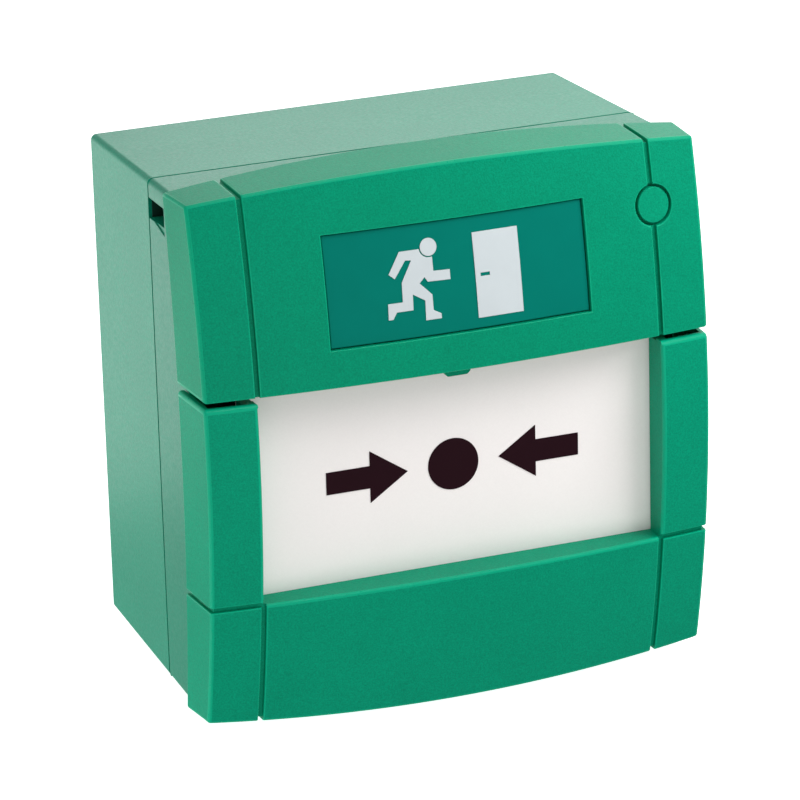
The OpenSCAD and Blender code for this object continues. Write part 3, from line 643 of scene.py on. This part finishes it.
def strip_place(x, y, z):
    """Drafts the straight strip and fits its front end to the curved rear edge."""
    share = (-y - UNIT_D) / (LIP_D - UNIT_D)
    in_frame = smooth(-z, -COVER_Z - 1.0, -COVER_Z + 1.5)
    end = lip_depth(z) + mix(-STRIP_GAP, STRIP_IN_FRAME, in_frame)
    middle = mix(UNIT_D, LIP_D, 0.5)
    depth = mix(middle, end, (share - 0.5) * 2) if share > 0.5 else -y
    grown = depth - BOX_D
    return (x * (1 + grown * DRAFT[0] / BOX_HALF[0]), -depth,
            z * (1 + grown * DRAFT[1] / BOX_HALF[1]))


def strip_edge_radius(middle, direction):
    """Radius of the strip's long edges, rear end and sockets."""
    x, y, z = middle
    long_edge = abs(direction.y) > 0.9
    on_side, on_end = near(abs(x), BOX_HALF[0]), near(abs(z), BOX_HALF[1])
    if long_edge and on_side and on_end:
        return STRIP_R
    if near(y, -UNIT_D) and (on_side or on_end):
        return STRIP_END_R
    if near(y, -SOCKET_D[0]) and near(z, SOCKET_Z[0]):
        return POCKET_R
    if on_side and SOCKET_Z[0] - 1.5 < z < SOCKET_Z[1] + 0.1:
        return SOCKET_EDGE_R
    return 0.0


def add_socket_ramps(bm):
    """Wedges that slope the lower edge of each socket."""
    top = SOCKET_Z[0] + 0.1
    corners = [(-SOCKET_RAMP[0], top), (-SOCKET_D[1], top),
               (-SOCKET_D[1], SOCKET_Z[0] - SOCKET_RAMP[1])]
    for side in (-1, 1):
        xs = mirror_range(side, (SOCKET_RAMP_X, BOX_HALF[0] + OUT))
        add_prism(bm, [[bm.verts.new((x, y, z)) for y, z in corners] for x in xs])


def build_strip():
    """The drafted strip with its four-sided hollow and the sockets near the top corners."""
    half_x, half_z = BOX_HALF
    y = (-LIP_D, -UNIT_D)
    strip = boxes("strip", [((-half_x, half_x), y, (-half_z, half_z))])
    hollow = ((-half_x + WALL, half_x - WALL), (-LIP_D - OUT, -UNIT_D + OUT),
              (-half_z + WALL, half_z - WALL))
    boolean(strip, boxes("hollow", [hollow]), "DIFFERENCE")
    rim = (SOCKET_Z[0] - SOCKET_RIM, SOCKET_Z[1] + SOCKET_RIM)
    backs = [((SOCKET_BACK_X, SOCKET_FLOOR_X), (-SOCKET_D[0] - SOCKET_RIM, -UNIT_D - 2), rim),
             ((SOCKET_BACK_X, SOCKET_FLOOR_X - SOCKET_BACK_WALL), (-UNIT_D - 2.5, -UNIT_D), rim)]
    boolean(strip, boxes("socket_backs", mirrored(backs)), "UNION")
    deep = [((SOCKET_DEEP_X, half_x + OUT), (-SOCKET_D[0], -UNIT_D + OUT), SOCKET_Z),
            ((SOCKET_FLOOR_X, half_x + OUT), (-SOCKET_D[1], -SOCKET_D[0] + 1), SOCKET_Z)]
    boolean(strip, boxes("sockets", mirrored(deep)), "DIFFERENCE")
    boolean(strip, solid("ramps", add_socket_ramps), "DIFFERENCE")
    round_edges(strip, strip_edge_radius, STRIP_R)
    slice_up(strip, 1, steps(-LIP_D, -UNIT_D, STRIP_STEP_D)[1:-1])
    slice_up(strip, 2, steps(-half_z, half_z, STRIP_STEP_Z)[1:-1])
    move_points(strip, strip_place)
    return strip


def add_bosses(bm):
    """Screw bosses from the flange to the front."""
    for side in (-1, 1):
        for z, front in BOSSES:
            add_rod(bm, (side * BOSS_X, -FLANGE_D[0], z), (side * BOSS_X, -front, z), BOSS_R)


def add_lug_legs(bm):
    """Straight parts of the hinge lugs."""
    for side in (-1, 1):
        for lug in LUGS:
            add_box(bm, mirror_range(side, lug), (-HINGE_D - LUG_R, -HINGE_D + LUG_R),
                    (LUG_FOOT_Z, HINGE_Z))


def add_lug_eyes(bm):
    """Round ends of the hinge lugs."""
    for side in (-1, 1):
        for lug in LUGS:
            a, b = mirror_range(side, lug)
            add_rod(bm, (a, -HINGE_D, HINGE_Z), (b, -HINGE_D, HINGE_Z), LUG_R)


def build_inner_housing():
    """Flange, screw bosses, hinge lugs and cam bearing behind the front face."""
    half_x, half_z = BOX_HALF[0] - FLANGE_GAP, BOX_HALF[1] - FLANGE_GAP
    hole_x, hole_z = FLANGE_HALF
    y = (-FLANGE_D[1], -FLANGE_D[0])
    flange = boxes("flange", [((-half_x, half_x), y, (-half_z, FLANGE_TOP))])
    hole = ((-hole_x, hole_x), THROUGH_Y, (-hole_z, hole_z))
    guides = mirrored([(FLAG_GUIDE_X, THROUGH_Y, (FLAG_GUIDE_LOW, FLAG_GUIDE_TOP))])
    boolean(flange, boxes("flange_hole", [hole] + guides), "DIFFERENCE")
    boolean(flange, solid("bosses", add_bosses), "UNION")
    boolean(flange, solid("lug_legs", add_lug_legs), "UNION")
    boolean(flange, solid("lug_eyes", add_lug_eyes), "UNION")
    low, high = CAM_Z
    bearing = rod("bearing", (0, -CAM_D, low), (0, -CAM_D, high), CAM_R + CAM_WALL, 64)
    bore = rod("bore", (0, -CAM_D, CAM_SEAT_Z), (0, -CAM_D, high + OUT), CAM_R, 64)
    boolean(bearing, bore, "DIFFERENCE")
    pin_holes = rod("pin_holes", (-PIN_HOLE_X, -HINGE_D, HINGE_Z),
                    (PIN_HOLE_X, -HINGE_D, HINGE_Z), PIN_R + PIN_PLAY, 32)
    boolean(flange, pin_holes, "DIFFERENCE")
    return join([flange, bearing], "inner_housing")


def build_housing():
    """Lower frame, strip and inner structure as one moulding."""
    return join([build_lower_frame(), build_strip(), build_inner_housing()], "housing_shell")


# ---------- springs ----------

# place, depths of the two ends, radii of coil and wire, number of turns
SPRING_X, SPRING_ZS = 29.0, (-18.0, 13.0)
SPRING_D = (44.5, 49.6)
SPRING_R, WIRE_R = 2.35, 0.27
SPRING_TURNS = 4
END_TURN_BLEND = 0.55  # 0 is an even pitch, 1 closes the end turns fully


def build_spring(name, x, z, hand):
    """A wound wire, with its end turns closed up."""
    per_turn, around = 28, 8
    count = SPRING_TURNS * per_turn
    length = SPRING_D[1] - SPRING_D[0] - 2 * WIRE_R
    bm = bmesh.new()
    rings = []
    for i in range(count + 1):
        share = i / count
        rise = mix(share, smooth(share, 0, 1), END_TURN_BLEND)
        angle = hand * 2 * math.pi * i / per_turn
        depth = SPRING_D[0] + WIRE_R + length * rise
        ring = []
        for j in range(around):
            turn = 2 * math.pi * j / around
            radius = SPRING_R + WIRE_R * math.cos(turn)
            ring.append(bm.verts.new((x + radius * math.cos(angle),
                                      -depth - WIRE_R * math.sin(turn),
                                      z + radius * math.sin(angle))))
        rings.append(ring)
    for a, b in zip(rings, rings[1:]):
        for j in range(around):
            k = (j + 1) % around
            bm.faces.new((a[j], a[k], b[k], b[j]))
    bm.faces.new(rings[0])
    bm.faces.new(reversed(rings[-1]))
    bmesh.ops.recalc_face_normals(bm, faces=bm.faces)
    mesh = bpy.data.meshes.new(name)
    bm.to_mesh(mesh)
    bm.free()
    return link(name, mesh)


# ---------- materials ----------


class Look:
    """A procedural material: principled shader, mottled colour, grain and a painted highlight on
    sharp edges.
    """

    COLOUR_INPUTS, COLOUR_OUTPUT = (6, 7), 2  # sockets of the Mix node in colour mode

    def __init__(self, name):
        self.material = bpy.data.materials.new(name)
        self.material.use_nodes = True
        self.nodes = self.material.node_tree.nodes
        self.links = self.material.node_tree.links
        self.shader = self.nodes["Principled BSDF"]
        self.place = self.nodes.new("ShaderNodeTexCoord").outputs["Object"]

    def noise(self, size_mm, detail=3.0, stretch=None):
        """Noise with features of about size_mm."""
        place = self.place
        if stretch:
            mapping = self.nodes.new("ShaderNodeMapping")
            mapping.inputs["Scale"].default_value = stretch
            self.links.new(place, mapping.inputs["Vector"])
            place = mapping.outputs["Vector"]
        node = self.nodes.new("ShaderNodeTexNoise")
        node.inputs["Scale"].default_value = 1 / (size_mm * MM)
        node.inputs["Detail"].default_value = detail
        self.links.new(place, node.inputs["Vector"])
        return node.outputs["Fac"]

    def ranged(self, value, low, high, start=0.3, end=0.7):
        """Maps value from start..end to low..high."""
        node = self.nodes.new("ShaderNodeMapRange")
        node.inputs["From Min"].default_value = start
        node.inputs["From Max"].default_value = end
        node.inputs["To Min"].default_value = low
        node.inputs["To Max"].default_value = high
        self.links.new(value, node.inputs["Value"])
        return node.outputs["Result"]

    def blend(self, share, a, b):
        """Colour between a and b, each a colour or another node's output."""
        node = self.nodes.new("ShaderNodeMix")
        node.data_type = "RGBA"
        self.links.new(share, node.inputs["Factor"])
        for index, colour in zip(self.COLOUR_INPUTS, (a, b)):
            if isinstance(colour, tuple):
                node.inputs[index].default_value = (*colour, 1.0)
            else:
                self.links.new(colour, node.inputs[index])
        return node.outputs[self.COLOUR_OUTPUT]

    def times(self, a, b):
        """The product of two outputs."""
        node = self.nodes.new("ShaderNodeMath")
        node.operation = "MULTIPLY"
        self.links.new(a, node.inputs[0])
        self.links.new(b, node.inputs[1])
        return node.outputs[0]

    def tinted(self, colour, shade):
        """The colour made lighter or darker by a value around 1."""
        node = self.nodes.new("ShaderNodeVectorMath")
        node.operation = "SCALE"
        node.inputs[0].default_value = colour
        self.links.new(shade, node.inputs["Scale"])
        return node.outputs[0]

    def edges(self, low=0.52, high=0.6):
        """1 on sharp outer edges, 0 elsewhere."""
        geometry = self.nodes.new("ShaderNodeNewGeometry")
        return self.ranged(geometry.outputs["Pointiness"], 0.0, 1.0, low, high)

    def bump(self, height, depth_mm, strength=1.0):
        node = self.nodes.new("ShaderNodeBump")
        node.inputs["Strength"].default_value = strength
        node.inputs["Distance"].default_value = depth_mm * MM
        self.links.new(height, node.inputs["Height"])
        self.links.new(node.outputs["Normal"], self.shader.inputs["Normal"])

    def set(self, **values):
        for name, value in values.items():
            socket = self.shader.inputs[name.replace("_", " ")]
            if isinstance(value, bpy.types.NodeSocket):
                self.links.new(value, socket)
            else:
                socket.default_value = (*value, 1.0) if isinstance(value, tuple) else value


def scaled(colour, factor):
    """A lighter or darker version of a colour."""
    return tuple(channel * factor for channel in colour)


def plastic(name, colour, grain_mm, grain_depth, rough, ior, mottle=0.03, speck=0.05, edge_highlight=0.12):
    """Moulded plastic: slow colour drift, fine specks, an eroded grain, and a painted highlight
    that lightens sharp edges.
    """
    look = Look(name)
    drift = look.ranged(look.noise(14.0), 1 - mottle, 1 + mottle)
    specks = look.ranged(look.noise(grain_mm, 2.0), 1 - speck, 1 + speck)
    # painted highlight: sharp outer edges are made lighter, standing in for the light they catch
    painted_edge_highlight = look.ranged(look.edges(), 1.0, 1 + edge_highlight, 0.0, 1.0)
    shade = look.times(look.times(drift, specks), painted_edge_highlight)
    look.set(Base_Color=look.tinted(colour, shade),
             Roughness=look.ranged(look.noise(grain_mm * 2), rough - 0.05, rough + 0.05),
             IOR=ior)
    look.bump(look.noise(grain_mm, 2.0), grain_depth)
    return look.material


def metal(name, colour, rough, stretch=(1.0, 6.0, 1.0)):
    """Brushed metal: streaks along one axis and bright edges."""
    look = Look(name)
    streak = look.ranged(look.noise(0.8, 4.0, stretch), 0.0, 1.0)
    tint = look.blend(streak, scaled(colour, 0.86), scaled(colour, 1.08))
    look.set(Base_Color=look.blend(look.edges(), tint, scaled(colour, 1.15)), Metallic=1.0,
             Roughness=look.ranged(look.noise(0.5, 3.0, stretch), rough - 0.08, rough + 0.1))
    look.bump(look.noise(0.35, 3.0, stretch), 0.008)
    return look.material


def printed(name, colour, rough=0.4, mottle=0.02, ior=1.2):
    """Ink or film: almost even, with a faint orange peel."""
    look = Look(name)
    cloud = look.ranged(look.noise(4.0), 0.0, 1.0)
    look.set(Base_Color=look.blend(cloud, scaled(colour, 1 - mottle), scaled(colour, 1 + mottle)),
             Roughness=look.ranged(look.noise(1.5), rough - 0.04, rough + 0.06), IOR=ior)
    look.bump(look.noise(0.25, 2.0), 0.004)
    return look.material


COVER_GREEN = (0.0004, 0.262, 0.141)
FRAME_GREEN = (0.0004, 0.285, 0.158)
BOX_GREEN = (0.0004, 0.219, 0.128)


def build_materials():
    """Every look, by material name."""
    grain = {"grain_mm": 0.26, "grain_depth": 0.03, "speck": 0.16}
    edge = {"grain_mm": 0.26, "grain_depth": 0.02, "rough": 0.32, "ior": 1.22}
    satin = {"grain_mm": 0.3, "grain_depth": 0.008, "rough": 0.42, "ior": 1.45}
    return {
        "box_green": plastic("box_green", BOX_GREEN, rough=0.4, ior=1.3, **grain),
        "housing_green": plastic("housing_green", FRAME_GREEN, rough=0.42, ior=1.15, **grain),
        "cover_green": plastic("cover_green", COVER_GREEN, rough=0.42, ior=1.15, **grain),
        # The edge materials are lighter copies of the greens with a glossier finish: the lighter
        # colour is a painted highlight on the rounded edges, and the gloss is real.
        "housing_edge_highlight": plastic("housing_edge_highlight", scaled(FRAME_GREEN, 1.3), **edge),
        "cover_edge_highlight": plastic("cover_edge_highlight", scaled(COVER_GREEN, 1.3), **edge),
        "gasket_rubber": plastic("gasket_rubber", (0.004, 0.03, 0.02), 0.12, 0.02, 0.8, 1.3),
        "brass_parts": metal("brass_parts", (0.72, 0.5, 0.2), 0.28),
        "steel_parts": metal("steel_parts", (0.62, 0.62, 0.63), 0.3),
        "spring_steel": metal("spring_steel", (0.5, 0.5, 0.52), 0.24),
        "sign_teal": printed("sign_teal", (0.0002, 0.177, 0.135), ior=1.12),
        "sign_white": printed("sign_white", (0.58, 0.635, 0.655)),
        "plate_white": plastic("plate_white", (0.93, 0.885, 0.87), speck=0.012, edge_highlight=0.02,
                               mottle=0.006, grain_mm=0.3, grain_depth=0.003, rough=0.5, ior=1.2),
        "symbol_black": printed("symbol_black", (0.02, 0.0045, 0.0085), 0.5),
        "black_plastic": plastic("black_plastic", (0.02, 0.02, 0.022), **satin),
        "flag_yellow": plastic("flag_yellow", (0.82, 0.55, 0.02), **satin),
        "board_green": printed("board_green", (0.015, 0.13, 0.045), 0.28, 0.1, 1.45),
        "board_component": plastic("board_component", (0.55, 0.4, 0.22), **satin),
        "terminal_green": plastic("terminal_green", (0.02, 0.17, 0.07), **satin),
        "switch_grey": plastic("switch_grey", (0.05, 0.05, 0.06), **satin),
        "plunger_red": plastic("plunger_red", (0.5, 0.02, 0.015), **satin),
        "cam_ivory": plastic("cam_ivory", (0.72, 0.69, 0.6), **satin),
    }


def give_materials(obj, *wanted):
    """Gives a piece its materials; the last one fills any slots left over."""
    slots = obj.data.materials
    while len(slots) < len(wanted):
        slots.append(None)
    for i in range(len(slots)):
        slots[i] = wanted[min(i, len(wanted) - 1)]


# ---------- camera, light and floor ----------

# millimetres and degrees
CAMERA_PLACE = (-271.2, -730.3, 265.75)
CAMERA_AZIMUTH = -21.17
CAMERA_ELEVATION = 19.58
CAMERA_ROLL = -1.557
CAMERA_LENS = 214.98


def build_camera():
    """The camera of the photo, found by matching points of the object."""
    data = bpy.data.cameras.new("camera")
    data.lens = CAMERA_LENS
    data.sensor_width = 36.0
    data.clip_start = 0.01
    data.clip_end = 20.0
    camera = bpy.data.objects.new("camera", data)
    bpy.context.scene.collection.objects.link(camera)
    azimuth, elevation = math.radians(CAMERA_AZIMUTH), math.radians(CAMERA_ELEVATION)
    forward = Vector((-math.sin(azimuth) * math.cos(elevation),
                      math.cos(azimuth) * math.cos(elevation), -math.sin(elevation)))
    level = forward.to_track_quat("-Z", "Y").to_matrix().to_4x4()
    roll = Matrix.Rotation(math.radians(CAMERA_ROLL), 4, "Z")
    camera.matrix_world = Matrix.Translation(Vector(CAMERA_PLACE) * MM) @ level @ roll
    bpy.context.scene.camera = camera


def area_light(name, place, size, power, target):
    """A soft box at place that faces target, in metres."""
    data = bpy.data.lights.new(name, "AREA")
    data.shape = "RECTANGLE"
    data.size, data.size_y = size
    data.energy = power
    light = bpy.data.objects.new(name, data)
    bpy.context.scene.collection.objects.link(light)
    towards = Vector(target) - Vector(place)
    light.matrix_world = (Matrix.Translation(place)
                          @ towards.to_track_quat("-Z", "Y").to_matrix().to_4x4())
    return light


ROOM_STRENGTH = 0.56
SHEEN_MIDDLE = 0.42
SHEEN_SLOPE = (0.15, 0.36, 0.26)  # how the reflected room brightens along x, y and z
SHEEN_LEAST = 0.06
# Soft boxes: place, width and height, power, what they aim at, and whether they light
# the object or are only mirrored in it. The cards behind show in the side and the top,
# and the strips in the rounded edges.
LIGHTS = {
    "key": ((0.14, -0.15, 0.15), (0.12, 0.12), 0.29, (0, -0.03, 0), "lights"),
    "front": ((-0.1, -1.0, -0.2), (0.7, 0.7), 1.82, (0, -0.03, 0), "lights"),
    "left": ((-0.45, 0.06, -0.25), (0.5, 0.5), 2.05, (0, -0.03, 0), "lights"),
    "overhead": ((0.05, -0.35, 0.6), (0.5, 0.3), 0.6, (0, -0.05, 0), "lights"),
    "card_side": ((-0.19, 0.12, -0.015), (0.34, 0.11), 0.15, (-0.19, 0, -0.015), "mirrored"),
    "card_top": ((0.24, 0.12, 0.26), (0.5, 0.4), 1.1, (0.24, 0, 0.26), "mirrored"),
    "strip_top": ((0.2, -0.2, 0.6), (0.6, 0.08), 1.2, (0, -0.03, 0), "mirrored"),
    "strip_left": ((-0.6, -0.27, -0.22), (0.08, 0.6), 0.6, (0, -0.03, 0), "mirrored"),
}


def build_room():
    """White room: plain white to the camera, and darker in front for what the object mirrors."""
    world = bpy.data.worlds.new("studio")
    bpy.context.scene.world = world
    world.use_nodes = True
    nodes, links = world.node_tree.nodes, world.node_tree.links
    path = nodes.new("ShaderNodeLightPath").outputs

    def background(strength):
        node = nodes.new("ShaderNodeBackground")
        if isinstance(strength, float):
            node.inputs["Strength"].default_value = strength
        else:
            links.new(strength, node.inputs["Strength"])
        node.inputs["Color"].default_value = (1.0, 1.0, 1.0, 1.0)
        return node.outputs[0]

    def choose(share, a, b):
        node = nodes.new("ShaderNodeMixShader")
        for socket, value in zip(node.inputs, (share, a, b)):
            links.new(value, socket)
        return node.outputs[0]

    slope = nodes.new("ShaderNodeVectorMath")
    slope.operation = "DOT_PRODUCT"
    links.new(nodes.new("ShaderNodeTexCoord").outputs["Generated"], slope.inputs[0])
    slope.inputs[1].default_value = SHEEN_SLOPE
    sheen = nodes.new("ShaderNodeMath")
    sheen.operation = "ADD"
    links.new(slope.outputs["Value"], sheen.inputs[0])
    sheen.inputs[1].default_value = SHEEN_MIDDLE
    least = nodes.new("ShaderNodeMath")
    least.operation = "MAXIMUM"
    links.new(sheen.outputs[0], least.inputs[0])
    least.inputs[1].default_value = SHEEN_LEAST
    room = choose(path["Is Glossy Ray"], background(ROOM_STRENGTH), background(least.outputs[0]))
    seen = choose(path["Is Camera Ray"], room, background(1.0))
    links.new(seen, nodes["World Output"].inputs["Surface"])


def build_lights():
    """The room and the soft boxes."""
    bpy.context.scene.view_settings.view_transform = "Standard"
    build_room()
    for name, (place, size, power, target, purpose) in LIGHTS.items():
        light = area_light(name, place, size, power, target)
        light.visible_camera = False
        light.visible_glossy = purpose == "mirrored"
        light.visible_diffuse = purpose == "lights"


FLOOR_HALF, FLOOR_THICK, FLOOR_GAP = 1500.0, 4.0, 0.2


def build_floor():
    """Plain white floor just under the object, bright enough to merge with the backdrop."""
    top = cad_box[0].z / MM - FLOOR_GAP
    across = (-FLOOR_HALF, FLOOR_HALF)
    floor = boxes("floor", [(across, across, (top - FLOOR_THICK, top))])
    floor.data.transform(Matrix.Scale(MM, 4))
    look = Look("floor_white")
    shade = look.ranged(look.noise(120.0), 0.88, 0.9)
    colour = look.nodes.new("ShaderNodeCombineColor")
    for channel in colour.inputs:
        if channel.type == "VALUE":
            look.links.new(shade, channel)
    look.set(Base_Color=colour.outputs[0], Roughness=0.9, Specular_IOR_Level=0.0,
             Emission_Color=(1.0, 1.0, 1.0), Emission_Strength=0.96)
    give_materials(floor, look.material)
    floor.visible_glossy = False
    floor.visible_diffuse = False
    floor.visible_shadow = False


NODE_EDGE_R = 0.15
NODE_EDGE_ANGLE = 40
NODE_FLAT_ANGLE = 1


def soften_edges(node):
    """Small rounded edges on a CAD node, by modifiers only."""
    weld = node.modifiers.new("weld", "WELD")
    weld.merge_threshold = SAME_PLACE_M
    flat = node.modifiers.new("flat", "DECIMATE")
    flat.decimate_type = "DISSOLVE"
    flat.angle_limit = math.radians(NODE_FLAT_ANGLE)
    bevel = node.modifiers.new("round", "BEVEL")
    bevel.limit_method = "ANGLE"
    bevel.angle_limit = math.radians(NODE_EDGE_ANGLE)
    bevel.width = NODE_EDGE_R * MM
    bevel.segments = 2
    node.modifiers.new("normals", "WEIGHTED_NORMAL").weight = FACE_WEIGHT


# ---------- build ----------

materials = build_materials()
build_camera()
build_lights()
build_floor()

cover = to_metres(build_cover())
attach(cover, "cover")
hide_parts("top_cover")
give_materials(cover, materials["cover_green"], materials["cover_edge_highlight"])

housing = to_metres(build_housing())
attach(housing, "base")
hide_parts("front_housing")
give_materials(housing, materials["housing_green"], materials["housing_edge_highlight"],
               materials["box_green"])
for face in housing.data.polygons:
    depth = -face.center.y / MM
    if depth < min(STRIP_END_D, lip_depth(face.center.z / MM) - 0.1):
        face.material_index = STRIP_SLOT

for side in (-1, 1):
    for row, z in enumerate(SPRING_ZS):
        name = f"spring_{'left' if side < 0 else 'right'}_{'low' if row == 0 else 'high'}"
        spring = to_metres(build_spring(name, side * SPRING_X, z, side))
        spring.name = name
        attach(spring, "base")
        if side < 0 and row == 0:
            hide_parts("return_springs")
        give_materials(spring, materials["spring_steel"])
        finished(spring)
        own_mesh(spring)

replaced = ("top_cover", "front_housing", "return_springs")
for name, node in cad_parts.items():
    if name in replaced:
        continue
    for slot in node.material_slots:
        slot.material = materials[slot.material.name.split(".")[0]]
    soften_edges(node)
